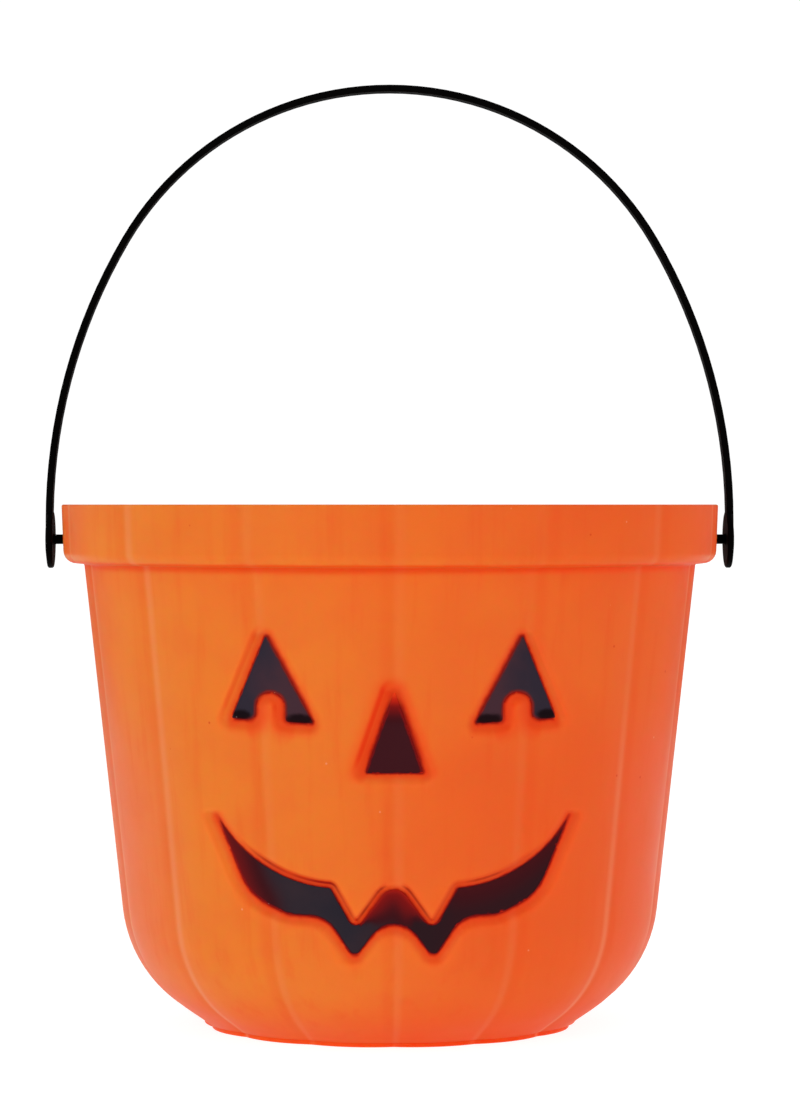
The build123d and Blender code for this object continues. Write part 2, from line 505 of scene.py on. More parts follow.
def film_thinness(node, x, z):
    """How thin a field's film is away from its edge, from 0 to 1."""
    if node == "mouth_paint":
        below = np.interp(x, *mouth_bow()[::-1].T) - z
        glaze = glaze_thinness + glaze_edge_thinness * smooth_step(below, glaze_reach, 0)
        glaze *= smooth_step(x, *glaze_spread)
        arch_reach = np.interp(x, arch_thin_places, arch_thin_reach)
        arch = arch_thinness * line_nearness(x, z, mouth_arch(), arch_reach)
        cheek = cheek_thinness + cheek_edge_thinness * line_nearness(x, z, mouth_cheek(), cheek_thin_reach)
        cheek *= smooth_step(-x, *cheek_thin_spread)
        tip = np.clip(1 - (mouth_half_width - np.abs(x)) / tip_thin_reach, 0, 1)
        tip *= np.where(x < 0, left_tip_thinness, right_tip_thinness)
        return glaze + arch + cheek + tip
    if node == "nose_paint":
        apex = nose_foot + nose_height
        return nose_thinness + (1 - nose_thinness) * smooth_step(z, apex - nose_thin_height, apex)
    return np.zeros(len(x))


def side_shares(way):
    """How far directions point left, right, up and down, as shares of 1."""
    left, below = np.minimum(way, 0).T ** 2
    right, above = np.maximum(way, 0).T ** 2
    return np.stack([left, right, above, below], axis=1)


def spray_marks(x, z, nodes):
    """What the paint of some fields leaves on the plastic and on its edge, with the painted shade round it,
    at places in the front view.
    """
    number, distance, way = nearest_edge(x, z, [fields[node] for node in nodes])
    sides = side_shares(way)
    marks = {"paint_distance": distance}
    for name in ("smear_and_shade", "painted_red_shade", "fade", "ragged", "line", "painted_recess_edge_shade"):
        settings = np.array([spray[node].get(name, no_spray) for node in nodes])
        marks[name] = np.einsum("ij,ij->i", sides, settings[number])
    marks["line_gap"] = distance - np.array([spray[node]["line_place"] for node in nodes])[number]
    marks["thin"] = np.stack([film_thinness(node, x, z) for node in nodes])[number, np.arange(len(x))]

    width = np.abs(x)
    marks["line"] *= smooth_step(width, line_end_spread, line_full_spread) * (way[:, 1] > 0)
    line_left = 1 - line_loss * smooth_step(x, *line_loss_spread)
    marks["line"] *= line_left * smooth_step(width, *line_break_spread)
    rise = z - np.array([fields[node][:, 1].min() for node in nodes])[number]
    marks["painted_recess_edge_shade"] *= smooth_step(rise, *recess_edge_shade_rise)
    marks["smear_and_shade"] *= 1 - smear_and_shade_loss * smooth_step(rise, smear_and_shade_loss_rise, 0) * sides[:, :2].sum(axis=1)
    on_mouth = np.array([node == "mouth_paint" for node in nodes])[number]
    mouth_ragged = least_ragged + (1 - least_ragged) * smooth_step(x, *ragged_spread)
    marks["ragged"] *= np.where(on_mouth, mouth_ragged, 1)

    notch_distance = oval_distance(width, z, (notch_middle, eye_foot), notch_soft_reach)
    softness = smooth_step(notch_distance, *notch_soft_edge)
    for name, value in notch_soft_marks.items():
        marks[name] += softness * (value - marks[name])
    bared = np.maximum(marks["thin"], notch_bareness * softness)
    marks["thin"] = np.where(distance > 0, bared, marks["thin"])
    return marks


def pool_distance(node, x, z):
    """Distance from the middle of the nearest pool of wet paint in an eye's feet, which is 1 at its edge."""
    if "eye" not in node:
        return np.full(len(x), far_from_pool)
    side = np.sign(x.mean())
    foot = eye_foot + pool_rise
    outer = (side * (eye_spread + eye_outer_reach - outer_pool_reach[0]), foot + eye_outer_rise)
    inner = (side * (eye_spread - eye_inner_reach + inner_pool_reach[0]), foot)
    pools = ((outer, outer_pool_reach), (inner, inner_pool_reach))
    return np.minimum(*[oval_distance(x, z, middle, reach) for middle, reach in pools])


# Surfaces of the pail

def lean_radius(start, lean, inset, height):
    """Radius, at a height, of a leaning wall line that is set in from the line through a start point."""
    start_radius, start_height = start
    return start_radius - inset / cos(radians(lean)) + (height - start_height) * tan(radians(lean))


def band_radius(inset, height):
    return lean_radius((rim_radius, pail_height), band_lean, inset, height)


def body_radius(inset, height):
    return lean_radius((band_radius(0, band_bottom) - band_step, band_bottom), body_lean, inset, height)


def flare_radius(inset, height):
    return lean_radius((body_radius(0, belly_height), belly_height), flare_lean, inset, height)


def belly_corner(inset):
    """Where the flare above the foot meets the leaning side, on an outline set in by the given amount."""
    spread = body_radius(inset, belly_height) - flare_radius(inset, belly_height)
    height = belly_height + spread / (tan(radians(flare_lean)) - tan(radians(body_lean)))
    return body_radius(inset, height), height


def side_line(inset, low_corner):
    """The pail's side from a corner near the ground up to the rim, set in by the given amount."""
    step = band_bottom + inset
    points = [
        low_corner,
        belly_corner(inset),
        (body_radius(inset, step), step),
        (band_radius(inset, step), step),
        (band_radius(inset, pail_height), pail_height),
    ]
    return points, [belly_round - inset, step_fillet_radius + inset, band_corner_radius - inset, lip_radius]


def section_lines():
    """The base, which is plain and round, then the lobed outside and inside, as radius and height."""
    foot_radius = flare_radius(0, foot_height) - foot_inset
    ring_radius = foot_radius - foot_ring_width
    ring_middle = foot_radius - foot_ring_width / 2
    base_points = [(0, panel_depth), (ring_radius, panel_depth), (ring_radius, 0), (ring_middle, 0)]
    base = rounded(base_points, [0, edge_radius, edge_radius, 0])
    outside, outside_radii = side_line(0, (flare_radius(0, foot_height), foot_height))
    inside, inside_radii = side_line(wall, (flare_radius(wall, floor_height), floor_height))
    foot = [(ring_middle, 0), (foot_radius, 0), (foot_radius, foot_height)]
    lip = ((rim_radius + band_radius(wall, pail_height)) / 2, pail_height)
    outer = rounded([*foot, *outside, lip], [0, edge_radius, edge_radius, edge_radius, *outside_radii, 0])
    inner_points = [lip, *reversed(inside), (0, floor_height)]
    inner = rounded(inner_points, [0, *reversed(inside_radii), floor_corner_radius, 0])
    return [divided(line, row_spacing) for line in (base, outer, inner)]


base_line, outer_line, inner_line = section_lines()
recess_narrowing = 1 - recess_depth / body_radius(0, face_middle)


def lobed_radius(radius, angle):
    """Distance from the axis of the lobed outline, with a small fillet where two lobes meet."""
    scale = np.minimum(radius / least_lobed_radius, 1)
    reach = np.maximum(radius, least_lobed_radius) - lobe_offset
    turn = np.mod(angle, lobe_angle)
    sides = [
        lobe_offset * np.cos(away) + np.sqrt(reach ** 2 - (lobe_offset * np.sin(away)) ** 2)
        for away in (turn - lobe_angle / 2, turn + lobe_angle / 2, turn - 1.5 * lobe_angle)
    ]
    return scale * smooth_max(smooth_max(sides[0], sides[1]), sides[2])


def smooth_max(first, second):
    overlap = np.maximum(crease_blend - np.abs(first - second), 0)
    return np.maximum(first, second) + overlap ** 2 / (4 * crease_blend)


def front_reach(across, height, line, inset, facing=0.0):
    """How far the lobed surface stands out along a facing direction, for points across it and by height."""
    order = np.argsort(line[:, 1], kind="stable")
    radius = np.interp(height, line[order, 1], line[order, 0])
    slope = (np.interp(height + slope_step, line[order, 1], line[order, 0]) - radius) / slope_step
    reach = radius - inset * np.sqrt(1 + slope ** 2) - lobe_offset
    middles = (np.arange(lobe_count) + 0.5) * lobe_angle - facing
    surface = np.full(len(across), -np.inf)
    for middle in middles[np.cos(middles) > least_facing]:
        room = reach ** 2 - (across - lobe_offset * sin(middle)) ** 2
        stands = lobe_offset * cos(middle) + np.sqrt(np.maximum(room, 0))
        surface = smooth_max(surface, stands)
    return surface


def placed(across, height, reach, facing=0.0):
    """Points in space for places across, up and along a facing direction."""
    x = across * cos(facing) + reach * sin(facing)
    y = across * sin(facing) - reach * cos(facing)
    return np.stack([x, y, height], axis=1)


def eased(share):
    """A straight ramp from 0 to 1 whose two ends are eased in."""
    share = np.clip(share, 0, 1)
    mirrored = np.minimum(share, 1 - share)
    gentle = mirrored ** 2 / (2 * recess_ease * (1 - recess_ease))
    straight = (mirrored - recess_ease / 2) / (1 - recess_ease)
    low = np.where(mirrored < recess_ease, gentle, straight)
    return np.where(share < 0.5, low, 1 - low)


def recess_inset(x, z, margin=0.0):
    """How deep the face is pressed in, in the front view, by a slope whose width goes by its side."""
    _, distance, way = nearest_edge(x * recess_narrowing, z + recess_lower, fields.values())
    top = side_shares(way) @ np.array(recess_tops)
    return recess_depth * (1 - eased((distance - margin - recess_foot) / (top - recess_foot)))


# Meshes

class Skin:
    """Corners in millimetres, faces by corner number, and marks: values at the corners for the material."""

    def __init__(self, plain_marks):
        self.plain_marks = plain_marks
        self.corners = []
        self.marks = {name: [] for name in plain_marks}
        self.faces = []

    def add(self, corners, marks=None):
        """Adds corners, with plain marks where none are given, and gives their numbers."""
        first = len(self.corners)
        self.corners += [tuple(corner) for corner in corners]
        all_marks = {**self.plain_marks, **(marks or {})}
        for name, values in self.marks.items():
            values += list(np.broadcast_to(all_marks[name], len(corners)))
        return np.arange(first, len(self.corners))

    def strip(self, low, high):
        """A closed band of faces between two rings of corners."""
        for start in range(len(low)):
            end = (start + 1) % len(low)
            self.faces.append((low[start], low[end], high[end], high[start]))


def make_object(name, skin, material):
    """A smooth piece of the corners that the skin's faces use."""
    used = np.unique(np.concatenate(skin.faces))
    order = np.zeros(len(skin.corners), int)
    order[used] = np.arange(len(used))
    mesh = bpy.data.meshes.new(name)
    faces = [order[list(face)].tolist() for face in skin.faces]
    mesh.from_pydata(np.array(skin.corners)[used] * MM, [], faces)
    mesh.update()
    mesh.polygons.foreach_set("use_smooth", [True] * len(mesh.polygons))
    for mark, values in skin.marks.items():
        attribute = mesh.attributes.new(mark, "FLOAT", "POINT")
        attribute.data.foreach_set("value", np.array(values, np.float32)[used])
    mesh.materials.append(material)
    piece = bpy.data.objects.new(name, mesh)
    bpy.context.scene.collection.objects.link(piece)
    return piece


def triangles(boundary, loops, points):
    """Triangles filling a boundary, on its corners, those of loops and points: corners, faces, sources."""
    inputs = []
    edges = []
    for loop in [boundary, *loops]:
        first = len(inputs)
        inputs += list(loop)
        edges += [(first + place, first + (place + 1) % len(loop)) for place in range(len(loop))]
    inputs += list(points)
    found = delaunay_2d_cdt([Vector(point) for point in inputs], edges, [], inside_only, join_distance)
    sources = [source[0] if source else None for source in found[3]]
    found_corners = zip(found[0], sources)
    corners = [tuple(corner) if source is None else inputs[source] for corner, source in found_corners]
    return np.array(corners), [tuple(face) for face in found[2]], sources


def clear_points(points, loops, clearance):
    """The points that stand clear of every loop."""
    tree = point_tree(np.concatenate(loops))
    return np.array([point for point in points if tree.find((*point, 0))[2] > clearance])


def column_angles():
    """Angles of the mesh's columns, crowded towards the creases between lobes."""
    crowded = 0.5 * (np.arange(half_lobe_columns) / half_lobe_columns) ** column_crowding
    lobe = np.concatenate([crowded, [0.5], 1 - crowded[:0:-1]])
    return np.concatenate([(lobe + number) * lobe_angle for number in range(lobe_count)])


def nearest_column(angle):
    return int(np.argmin(np.abs(angles - angle)))


angles = column_angles()
face_columns = nearest_column(lobe_angle * (1 + face_lobe_share))


class Window:
    """A stretch of the shell's regular grid, by columns and rows, that is filled with triangles instead."""

    def __init__(self, grid, line, first_row, facing, half_columns, low, high):
        middle = nearest_column(facing)
        heights = line[:, 1]
        rows = [row for row in range(len(line)) if low <= heights[row] <= high]
        if heights[rows[0]] > heights[rows[-1]]:
            rows.reverse()
        self.facing = facing
        self.line = line
        self.columns = [(middle + step) % column_count for step in range(-half_columns, half_columns + 1)]
        self.rows = [first_row + row for row in rows]
        self.outside = line is outer_line
        left, right = self.columns[0], self.columns[-1]
        self.boundary = [grid[self.rows[0], column] for column in self.columns]
        self.boundary += [grid[row, right] for row in self.rows[1:]]
        self.boundary += [grid[self.rows[-1], column] for column in self.columns[-2::-1]]
        self.boundary += [grid[row, left] for row in self.rows[-2:0:-1]]

    def covers(self, row, column):
        """Whether the grid's face above and to the right of a corner lies in the window."""
        low, high = min(self.rows), max(self.rows)
        return low <= row < high and column in self.columns[:-1]

    def flat(self, corners):
        """Corners in space as places across and up."""
        across = corners[:, 0] * cos(self.facing) + corners[:, 1] * sin(self.facing)
        return np.stack([across, corners[:, 2]], axis=1)

    def raised(self, places, inset):
        reach = front_reach(places[:, 0], places[:, 1], self.line, inset, self.facing)
        return placed(places[:, 0], places[:, 1], reach, self.facing)

    def fill(self, skin, loops, points, inset, marks):
        """Fills the window, set in and marked by functions of place."""
        border = self.flat(np.array([skin.corners[corner] for corner in self.boundary]))
        places, faces, sources = triangles(border, loops, points)
        is_border = np.array([source is not None and source < len(border) for source in sources])
        numbers = np.full(len(places), -1)
        numbers[is_border] = [self.boundary[source] for source, edge in zip(sources, is_border) if edge]
        new = places[~is_border]
        x, z = new.T
        numbers[~is_border] = skin.add(self.raised(new, inset(x, z)), marks(x, z))
        self.add_faces(skin, [[numbers[corner] for corner in face] for face in faces])

    def pierce(self, skin, hole):
        """Fills the window round a hole, and gives the numbers of the hole's corners."""
        border = self.flat(np.array([skin.corners[corner] for corner in self.boundary]))
        _, faces, sources = triangles(border, [hole], [])
        rim = skin.add(self.raised(hole, np.zeros(len(hole))))
        numbers = [*self.boundary, *rim]
        around = [face for face in faces if min(sources[corner] for corner in face) < len(border)]
        self.add_faces(skin, [[numbers[sources[corner]] for corner in face] for face in around])
        return rim

    def add_faces(self, skin, faces):
        skin.faces += faces if self.outside else [face[::-1] for face in faces]


def grid_points(spacing):
    """Places in the front view on the mesh's columns, at even heights, inside the face window."""
    columns = angles[:face_columns]
    turns = np.concatenate([-columns[:0:-1], columns])
    heights = np.arange(face_low + spacing, face_high - spacing / 2, spacing)
    radius = np.interp(heights, outer_line[:, 1], outer_line[:, 0])
    reach = lobed_radius(radius[:, None], np.mod(turns, 2 * pi)[None, :])
    across = reach * np.sin(turns)
    return np.stack([across.ravel(), np.repeat(heights, len(turns))], axis=1)


def recess_loops(levels):
    """Loops in the front view at distances from the outlines, widened to where the recess breaks out."""
    widening = 1 / recess_narrowing
    loops = []
    for outline in fields.values():
        for level in levels:
            loop = offset_loop(outline, level)
            loops.append(np.stack([loop[:, 0] * widening, loop[:, 1] - recess_lower], axis=1))
    return loops


def pail_skin():
    """The whole shell: a regular grid with windows for the face, inside and out, and for the pivot holes."""
    skin = Skin(shell_marks)
    lines = [base_line, outer_line[1:], inner_line[1:]]
    radius = np.concatenate([line[:, 0] for line in lines])
    height = np.concatenate([line[:, 1] for line in lines])
    lobed = lobed_radius(radius[:, None], angles[None, :])
    lobed[: len(base_line)] = base_line[:, :1]
    outer_row = len(base_line) - 1
    inner_row = outer_row + len(outer_line) - 1
    grid = np.zeros(lobed.shape, int)
    for row in range(len(radius)):
        heights = np.full(column_count, height[row])
        ring = np.stack([lobed[row] * np.sin(angles), -lobed[row] * np.cos(angles), heights], axis=1)
        corners = ring if radius[row] > 0 else [(0, 0, height[row])]
        numbers = skin.add(corners, inside_marks if row > inner_row else None)
        grid[row] = numbers if radius[row] > 0 else numbers[0]

    surfaces = ((outer_line, outer_row), (inner_line, inner_row))
    face_windows = [Window(grid, *surface, 0.0, face_columns, face_low, face_high) for surface in surfaces]
    hole_low, hole_high = pivot_height - pivot_window, pivot_height + pivot_window
    hole_windows = [
        Window(grid, *surface, quarter * pi / 2, hole_columns, hole_low, hole_high)
        for quarter in (1, 3)
        for surface in surfaces
    ]
    windows = face_windows + hole_windows
    for row in range(len(radius) - 1):
        for column in range(column_count):
            if any(window.covers(row, column) for window in windows):
                continue
            after = (column + 1) % column_count
            face = [grid[row, column], grid[row, after], grid[row + 1, after], grid[row + 1, column]]
            skin.faces.append(list(dict.fromkeys(face)))

    levels = np.linspace(recess_foot, max(recess_tops), recess_loop_count)
    loops = recess_loops(levels)
    points = clear_points(grid_points(field_spacing), loops, loop_clearance)
    face_windows[0].fill(skin, loops, points, recess_inset, lambda x, z: spray_marks(x, z, list(fields)))

    def pad_inset(x, z):
        return recess_inset(x, z, wall)

    pad_loops = recess_loops(levels[::pad_loop_step] + wall)
    pad_points = clear_points(grid_points(2 * field_spacing), pad_loops, 2 * loop_clearance)
    face_windows[1].fill(skin, pad_loops, pad_points, pad_inset, lambda x, z: inside_marks)

    turns = np.arange(hole_sides) * 2 * pi / hole_sides
    hole = pivot_hole_radius * np.stack([np.cos(turns), np.sin(turns)], axis=1) + (0, pivot_height)
    for outer, inner in (hole_windows[:2], hole_windows[2:]):
        skin.strip(outer.pierce(skin, hole), inner.pierce(skin, hole))
    return skin


def paint_skin(node):
    """A film of paint over the recess's floor, thinning to its edge, with its underside in the plastic."""
    outline = fields[node]
    skin = Skin(dict.fromkeys(film_marks, 0.0))
    loops = [offset_loop(outline, -paint_edge * share) for share in film_loops]
    low, high = outline.min(axis=0), outline.max(axis=0)
    across = np.arange(low[0], high[0], paint_spacing)
    heights = np.arange(low[1], high[1], paint_spacing)
    points = np.stack([axis.ravel() for axis in np.meshgrid(across, heights)], axis=1)
    within = points[edge_distance(points, outline) < -paint_edge]
    points = clear_points(within, [outline, *loops], loop_clearance)
    places, faces, sources = triangles(outline, loops, points)
    x, z = places.T
    marks = {**spray_marks(x, z, [node]), "pool": pool_distance(node, x, z)}
    film = paint_thickness * np.sqrt(np.clip(-marks["paint_distance"] / paint_edge, 0, 1))
    depth = recess_inset(x, z)
    top = skin.add(placed(x, z, front_reach(x, z, outer_line, depth - film)), marks)
    bottom = skin.add(placed(x, z, front_reach(x, z, outer_line, depth + paint_root)), marks)
    place_of = {source: place for place, source in enumerate(sources) if source is not None}
    rim = [place_of[number] for number in range(len(outline))]
    skin.faces += [[top[corner] for corner in face] for face in faces]
    skin.faces += [[bottom[corner] for corner in reversed(face)] for face in faces]
    skin.strip([bottom[place] for place in rim], [top[place] for place in rim])
    return skin


# Materials

# A material's layers: a colour as it looks on a screen, from 0 to 255, the two values between which the layer
# comes in, and its least and greatest strength where these aren't 0 and 1. A base or a speck has only its
# colour. Heights and places across are in metres, and distances from creases and paint in millimetres.
plastic_layers = {
    "base": ((240, 134, 50),),
    # Painted light and shade: yellower on the left, where the key light falls, redder on the less lit right
    "right": ((238, 102, 42), -0.045, 0.065),
    # Painted shade: redder towards the sides, where the silhouettes are, and deeper red higher up
    "side": ((250, 86, 46), 0.84, 1.0, 0, 0.62),
    "high_painted_side_shade": ((248, 78, 26), 0.08, 0.11),
    # Painted highlight: a pale pink sheen inside the silhouettes, low on the pail
    "painted_edge_highlight": ((246, 118, 86), 0.66, 0.9, 0, 0.55),
    "right_edge_highlight": ((246, 108, 76), -0.04, 0.04),
    "cloud": ((233, 104, 50), 0.35, 0.7, 0, 0.25),
    "streak": ((234, 92, 30), 0.5, 0.75, 0, 0.25),
    # Painted shade: red under the rim band's step
    "painted_shade_under_band": ((255, 78, 18), (band_bottom - 2.5) * MM, (band_bottom - 0.2) * MM, 0, 0.75),
    # Painted highlight along the band's lower rounding, at the sides
    "painted_band_highlight": ((250, 170, 130), 1.2 * MM, 0.2 * MM, 0, 0.35),
    # Painted shade and glow: redder towards the foot, outside
    "foot": ((246, 72, 20), 19 * MM, 1 * MM, 0, 0.7),
    # Painted shade behind each crease and a painted highlight in front of it
    "painted_crease_shade": ((232, 84, 28), 3.5, 0.3, 0, 0.2),
    "painted_crease_highlight": ((248, 165, 122), 2.8, 0.2),
    # Painted red shade of the plastic round the paint
    "painted_red_shade": ((236, 66, 18), 1.0, 0.0, 0, 0.82),
    # Painted shade line along the recess's edge
    "painted_recess_edge_shade": ((228, 56, 10), 1.3, 0.1),
    # Painted shade on the recess's wall, between the mouth's fine line and the paint
    "painted_wall_shade": ((212, 50, 16), 1.2, 0.2, 0, 0.9),
    "mist": ((214, 42, 14), 1.2, 0.2),
    # Paint smeared over the plastic, which on the teeth's flanks also stands in for painted shade
    "smear_and_shade": ((140, 14, 12), 0.75, -0.1, 0, 0.95),
    "line": ((144, 15, 5), 0.5, 0.05),
    "pale_speck": ((250, 190, 150),),
    "red_speck": ((215, 40, 10),),
}
paint_layers = {
    "base": ((40, 37, 47),),
    "cloud": ((50, 40, 48), 0.35, 0.65),
    "right": ((42, 24, 30), -0.012, 0.006),
    "upper": ((47, 42, 55), 0.06, 0.08),
    "inner_eye": ((68, 45, 55), 0.039, 0.026),
    "maroon": ((60, 17, 24), 0.0, 0.25),
    "eye_maroon": ((84, 38, 44), 0.01, 0.016),
    "red": ((124, 18, 18), 0.2, 0.7),
    "eye_red": ((158, 38, 26), 0.01, 0.016),
    "sheer": ((196, 36, 16), 0.6, 0.9),
    "bare": ((232, 68, 22), 0.85, 1.0),
    "pool": ((14, 1, 4), 1.3, 0.6, 0, 0.9),
    "speck": ((150, 130, 130),),
    "edge": ((205, 40, 14), 0.0, -0.12, 0, 0.9),
}
strap_layers = {"base": ((1, 1, 1),), "cloud": ((4, 4, 4), 0.3, 0.7)}

# Other values that come in between two values, as the layers do
plastic_ramps = {
    "wander": (0.3, 0.7, -0.014, 0.014),
    "high_wander": (0.07, 0.1, 0, 0.021),
    "low_edge_highlight": (0.106, 0.06),
    "band_shade_top": ((band_bottom + 1.2) * MM, (band_bottom + 0.3) * MM),
    "outward": (0.84, 1.0),
    "forward": (0.4, 0.6, 1, -1),
    "shine": (0.9, 2.1, 0.06, 0.2),
    "side_shine": (2.2, 2.8, 0, 0.07),
    "back_shine": (3.2, 6.0, 1, 0.35),
    "low_shine": (0.06, 0.03, 1, 1.5),
    "high_dulling": (0.07, 0.1, 0, 0.6),
    "right_dulling": (-0.02, 0.04),
    "front_dulling": (2.8, 2.2),
    "uneven": (0.25, 0.75, -0.1, 0.1),
    "within_painted_recess_edge_shade": (0.6, -0.3, 0, 0.4),
    "within_painted_wall_shade": (0.6, -0.3, 0, 0.8),
    "mist_left": (1.2, 0.5, 0, 0.9),
    "smear_and_shade_left": (1.0, 0.45),
    "broken": (0.36, 0.56, 0.2, 1),
    "roughness": (0.3, 0.7, 0.36, 0.46),
}
paint_ramps = {
    "wander": (0.35, 0.65, -0.003, 0.003),
    "uneven": (0.25, 0.75, -0.1, 0.1),
    "bite": (0.52, 0.74, 0, 0.55),
    "fade": (1.0, 0.0, 0, 0.5),
    "eye_height": (0.068, 0.08),
    "wet": (1.3, 0.6),
    "roughness": (0, 1, 0.5, 0.3),
}
strap_ramps = {"roughness": (0.3, 0.7, 0.5, 0.62)}

# Noises by scale, detail and stretch
plastic_noises = {
    "wander": (14, 2),
    "cloud": (70, 4),
    "streak": (1, 4, (260, 260, 14)),
    "uneven": (500, 3),
    "broken": (75, 2),
    "roughness": (60, 4),
    "grain": (900, 2),
}
paint_noises = {"cloud": (60, 3), "wander": (90, 3), "uneven": (500, 3), "bite": (420, 2)}
strap_noises = {"cloud": (70, 3), "roughness": (120, 4), "grain": (1200, 2)}

# Places of single marks, the most thinness that shows, and the form of specks and grain
band_highlight_height = (band_bottom + 1.9) * MM
crease_shade_place = -2.2
crease_highlight_place = 1.3
most_thinness = 0.7
speck_core = 0.3
grain_depth = 0.0003


def linear(red, green, blue):
    """A colour given as it looks on a screen, from 0 to 255, as the shader takes it."""
    shares = [value / 255 for value in (red, green, blue)]
    return (*[((share + 0.055) / 1.055) ** 2.4 if share > 0.04 else share / 12.92 for share in shares], 1)


class Graph:
    """A material's nodes, with its layers, ramps and noises by name, and the colour made so far."""

    def __init__(self, name, layers=None, ramps=None, noises=None):
        self.material = bpy.data.materials.new(name)
        self.material.use_nodes = True
        self.tree = self.material.node_tree
        self.shader = self.tree.nodes["Principled BSDF"]
        self.layers = layers
        self.ramps = ramps
        self.noises = noises
        self.colour = "base"

    def node(self, kind, inputs=None, **settings):
        """A node with its settings, and its inputs given as values or as other nodes' outputs."""
        made = self.tree.nodes.new("ShaderNode" + kind)
        for setting, value in settings.items():
            setattr(made, setting, value)
        for key, value in (inputs or {}).items():
            self.feed(made.inputs[key], value)
        return made

    def feed(self, socket, value):
        if isinstance(value, bpy.types.NodeSocket):
            self.tree.links.new(value, socket)
        else:
            socket.default_value = value

    def math(self, operation, first, second=0.0):
        return self.node("Math", {0: first, 1: second}, operation=operation).outputs[0]

    def times(self, first, *others):
        for other in others:
            first = self.math("MULTIPLY", first, other)
        return first

    def difference(self, first, second):
        """How far two values differ."""
        return self.math("ABSOLUTE", self.math("SUBTRACT", first, second))

    def carry(self, value, low, high, bottom=0.0, top=1.0):
        """A value carried from one range to another, smoothly and without passing the ends."""
        inputs = {"Value": value, "From Min": low, "From Max": high, "To Min": bottom, "To Max": top}
        return self.node("MapRange", inputs, interpolation_type="SMOOTHSTEP").outputs["Result"]

    def ramp(self, value, name):
        return self.carry(value, *self.ramps[name])

    def mix(self, share, first, second):
        """A mix of two colours, each given by its layer's name or as an output."""
        ends = [linear(*self.layers[end][0]) if isinstance(end, str) else end for end in (first, second)]
        return self.node("Mix", {0: share, 6: ends[0], 7: ends[1]}, data_type="RGBA").outputs[2]

    def over(self, colour, name, value, *shares, top=None):
        """A colour with a layer over it, as strong as a value makes it, times the shares."""
        share = self.times(self.carry(value, *self.layers[name][1:]), *shares)
        return self.mix(share, colour, name if top is None else top)

    def tint(self, name, value, *shares, top=None):
        """Lays a layer over the colour made so far, in its own colour or in the one on top."""
        self.colour = self.over(self.colour, name, value, *shares, top=top)

    def place(self, scale=(1, 1, 1), shift=(0, 0, 0)):
        """Places on the object, stretched by a scale and shifted."""
        where = self.node("TexCoord").outputs["Object"]
        return self.node("Mapping", {"Vector": where, "Scale": scale, "Location": shift}).outputs["Vector"]

    def along(self, axis):
        """How far along an axis of the object, in metres."""
        return self.node("SeparateXYZ", {0: self.node("TexCoord").outputs["Object"]}).outputs[axis]

    def attribute(self, name):
        return self.node("Attribute", attribute_name=name).outputs["Fac"]

    def noise(self, name):
        scale, detail, *stretch = self.noises[name]
        inputs = {"Vector": self.place(*stretch), "Scale": scale, "Detail": detail}
        return self.node("TexNoise", inputs).outputs["Fac"]

    def patches(self, name):
        """A noise carried by the ramp of the same name."""
        return self.ramp(self.noise(name), name)

    def speckle(self, name, apart, size, strength, shift=0.0):
        """Dots scattered through space, with their distance apart and size in metres."""
        inputs = {"Vector": self.place(shift=(shift, shift, shift)), "Scale": 1 / apart}
        distance = self.node("TexVoronoi", inputs).outputs["Distance"]
        dots = self.carry(distance, size / apart, speck_core * size / apart, 0, strength)
        self.colour = self.mix(dots, self.colour, name)

    def grain(self, strength):
        """A surface direction with a fine grain."""
        inputs = {"Strength": strength, "Distance": grain_depth, "Height": self.noise("grain")}
        return self.node("Bump", inputs).outputs["Normal"]

    def finish(self, **values):
        """The material, with the shader's inputs given as values or outputs."""
        for name, value in values.items():
            self.feed(self.shader.inputs[name.replace("_", " ")], value)
        return self.material


def add_creases(graph, turn):
    """Painted shade behind each crease and a painted highlight in front of it, which goes by its place on the
    pail.

    The distance from a crease is in millimetres at the rim and above 0 towards the front.
    """
    across, height, outside = graph.along("X"), graph.along("Z"), graph.attribute("outside")
    lobes = graph.math("DIVIDE", turn, lobe_angle)
    number = graph.math("ROUND", lobes)
    away = graph.times(graph.math("SUBTRACT", lobes, number), lobe_angle * rim_radius)
    away = graph.times(away, graph.ramp(number, "forward"))
    number = graph.math("ABSOLUTE", number)
    # Painted shade behind the crease
    graph.tint("painted_crease_shade", graph.difference(away, crease_shade_place), outside)
    shine = graph.math("ADD", graph.ramp(number, "shine"), graph.ramp(number, "side_shine"))
    shine = graph.times(shine, graph.ramp(number, "back_shine"), outside)
    dulling = graph.times(graph.ramp(height, "high_dulling"), graph.ramp(across, "right_dulling"))
    dulling = graph.times(dulling, graph.ramp(number, "front_dulling"))
    low_shine = graph.math("SUBTRACT", graph.ramp(height, "low_shine"), dulling)
    # Painted highlight in front of the crease
    graph.tint("painted_crease_highlight", graph.difference(away, crease_highlight_place), shine, low_shine)


